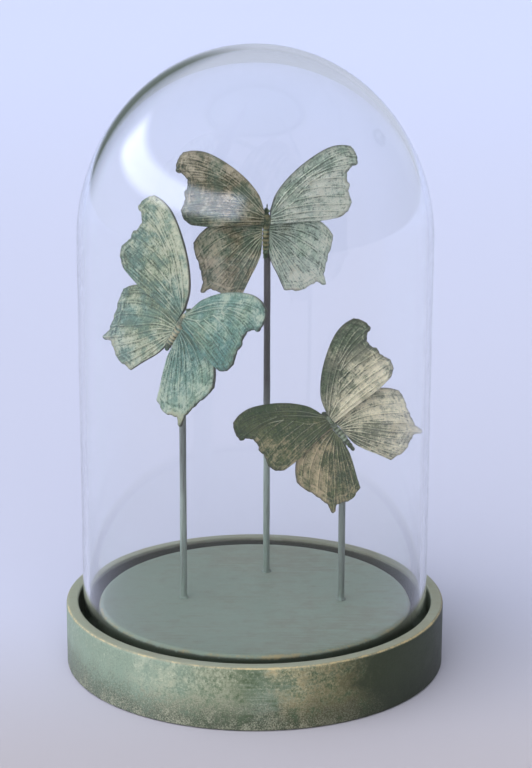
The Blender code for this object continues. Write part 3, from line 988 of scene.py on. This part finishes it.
class CLOCHE_OT_wings(Operator):
    """Cast the twelve wings and brush them with paint."""

    bl_idname = "cloche.make_wings"
    bl_label = "Wings"

    def execute(self, context):
        casting = context.scene.cloche_casting
        seed = 0.0
        for pair, wing in WINGS.items():
            plan = wing_plan(wing["edges"], casting.nibble / MM)
            relief, layers = wing_relief(plan, wing["veins"], wing["hem"], casting)
            points, faces, carried = wing_surface(plan, relief, layers, wing["step"], casting)
            for key in BUTTERFLY_KEYS:
                place = PLACES[key]
                paint = getattr(context.scene, f"cloche_{key}_butterfly")
                for (name, side), raised in zip(SIDES, place[pair]):
                    seed += 1.0
                    own = points * (side, 1.0, 1.0) * place["size"]
                    own = placed(own @ turn_about(2, -side * raised).T, place)
                    parts = ("ground", "patina", "dry", pair)
                    coats = [getattr(paint, f"{name}_{part}") for part in parts]
                    finish = casting_finish(f"wing_paint_{key}_{pair}_{name}", casting, coats, seed)
                    piece = add_piece(f"cast_{key}_{pair}wing_{name}", own, outward(own, faces), finish,
                                      70.0, carried)
                    hand_over(piece, f"butterfly_{key}_{pair}wing_{name}")
        return {"FINISHED"}


class CLOCHE_OT_stage(Operator):
    """Lay the floor, set the soft lights and place the camera."""

    bl_idname = "cloche.make_stage"
    bl_label = "Stage"

    def execute(self, context):
        settings = context.scene.cloche_stage
        lay_floor(settings)
        light_stage(settings)
        place_camera(settings)
        return {"FINISHED"}


def lay_floor(settings):
    """Round floor 8 m across its radius, a little bluer and brighter far from the camera."""
    finish = Finish("pale_floor", settings.floor, Roughness=0.9, Specular_IOR_Level=0.2)
    depth = finish.axis(finish.place(), "Y")
    # Painted light: the floor brightens and turns bluer away from the camera
    finish.coat(finish.weighted(0.0, (finish.ramp(depth, -170.0, 100.0), 0.6),
                                (finish.ramp(depth, 0.0, 2500.0), 0.4)), settings.lit_far_floor)
    finish.set(Base_Color=finish.tone)
    angle = 2.0 * np.pi * np.arange(128) / 128
    radii = np.array([0.3, 1.0, 2.5, 8.0])[:, None] * 1000.0
    rings = np.stack([radii * np.cos(angle), radii * np.sin(angle), np.zeros((4, 128))], axis=-1)
    points, faces = ring_surface(rings, (0.0, 0.0, 0.0), (0.0, 0.0, -20.0))
    floor = add_piece("floor", points, faces, finish.material)
    floor.location.z = -0.0002


def sky_side(sky, direction, towards, low, high):
    """Share of the sky near a direction: a smooth step of the cosine between the two."""
    cosine = sky.add("ShaderNodeVectorMath", {0: direction, 1: towards}, "Value", operation="DOT_PRODUCT")
    return sky.ramp(cosine, low, high)


def light_stage(settings):
    """Sky that is pale at the horizon, weaker overhead and dark on the right, with a long soft strip of
    light on the left; a broad daylight from the left front; and an even light from above."""
    world = bpy.data.worlds.new("soft_sky")
    bpy.context.scene.world = world
    world.use_nodes = True
    sky = Shading(world.node_tree)
    background = sky.nodes["Background"]
    direction = sky.add("ShaderNodeTexCoord", {}, "Generated")
    height = sky.axis(direction, "Z")
    tone = sky.blend(sky.ramp(height, 0.15, 0.60), settings.horizon, settings.overhead)
    for towards, low, high, shade in (((0.84, -0.50, 0.20), -0.1, 0.75, settings.dark_side),
                                      ((0.26, -0.95, 0.17), 0.20, 0.80, settings.dark_side),
                                      ((-0.42, 0.88, 0.22), 0.90, 0.985, settings.dark_corner)):
        tone = sky.blend(sky_side(sky, direction, towards, low, high), tone, shade)
    strip = sky.times(sky.ramp(height, 0.27, 0.36), sky.ramp(height, 0.58, 0.49),
                      sky_side(sky, direction, (-0.85, -0.35, 0.40), 0.50, 0.68))
    sky.feed(background.inputs["Color"], sky.blend(strip, tone, settings.horizon))
    sky.feed(background.inputs["Strength"], sky.weighted(settings.sky_strength, (strip, settings.strip)))

    daylight = bpy.data.lights.new("daylight", "SUN")
    daylight.energy, daylight.angle = settings.daylight, math.radians(105.0)
    top_light = bpy.data.lights.new("top_light", "SUN")
    top_light.energy, top_light.angle = settings.top_light, math.radians(170.0)
    for light, azimuth, height in ((daylight, -32.0, 28.0), (top_light, 0.0, 90.0)):
        azimuth, height, away = math.radians(azimuth), math.radians(height), 1.7
        lamp = bpy.data.objects.new(light.name, light)
        lamp.location = (away * math.sin(azimuth) * math.cos(height),
                         -away * math.cos(azimuth) * math.cos(height), 0.2 + away * math.sin(height))
        lamp.rotation_euler = (math.radians(90.0) - height, 0.0, azimuth)
        lamp.visible_glossy = lamp.visible_transmission = False
        bpy.context.scene.collection.objects.link(lamp)


def place_camera(settings):
    """Camera in front, a little above, looking down at the object."""
    camera = bpy.data.objects.new("camera", bpy.data.cameras.new("camera"))
    camera.data.lens = settings.lens
    camera.data.sensor_width = 36.0
    camera.location = (0.000058, -1.0910959, 0.4524138)
    camera.rotation_euler = Euler([math.radians(angle) for angle in (74.1692, -0.1597, -0.2338)])
    bpy.context.scene.collection.objects.link(camera)
    bpy.context.scene.camera = camera
    bpy.context.scene.view_settings.view_transform = "Standard"


class CLOCHE_PT_panel(Panel):
    """Lists what the cloche is made of."""

    bl_idname = "CLOCHE_PT_panel"
    bl_label = "Butterfly Cloche"
    bl_space_type = "VIEW_3D"
    bl_region_type = "UI"
    bl_category = "Cloche"

    def draw(self, context):
        for name in SETTINGS:
            box = self.layout.box()
            box.label(text=name.replace("cloche_", "").replace("_", " ").capitalize())
            settings = getattr(context.scene, name)
            for field in settings.__annotations__:
                box.prop(settings, field)
        for operator in OPERATORS:
            self.layout.operator(operator.bl_idname)


SETTINGS = {
    "cloche_base": BaseSettings,
    "cloche_glass": GlassSettings,
    "cloche_rods": RodSettings,
    "cloche_casting": CastingSettings,
    "cloche_top_butterfly": TopButterflySettings,
    "cloche_left_butterfly": LeftButterflySettings,
    "cloche_right_butterfly": RightButterflySettings,
    "cloche_stage": StageSettings,
}
OPERATORS = (CLOCHE_OT_base, CLOCHE_OT_glass, CLOCHE_OT_rods, CLOCHE_OT_bodies, CLOCHE_OT_wings,
             CLOCHE_OT_stage)


def register():
    for name, group in SETTINGS.items():
        bpy.utils.register_class(group)
        setattr(bpy.types.Scene, name, PointerProperty(type=group))
    for item in (*OPERATORS, CLOCHE_PT_panel):
        bpy.utils.register_class(item)


def unregister():
    for item in (CLOCHE_PT_panel, *reversed(OPERATORS)):
        bpy.utils.unregister_class(item)
    for name, group in reversed(list(SETTINGS.items())):
        delattr(bpy.types.Scene, name)
        bpy.utils.unregister_class(group)


def main():
    """Make every piece and the stage, and write how large the CAD and the finished object are."""
    register()
    for make in (bpy.ops.cloche.make_base, bpy.ops.cloche.make_glass, bpy.ops.cloche.make_rods,
                 bpy.ops.cloche.make_bodies, bpy.ops.cloche.make_wings, bpy.ops.cloche.make_stage):
        make()


if __name__ == "__main__":
    main()
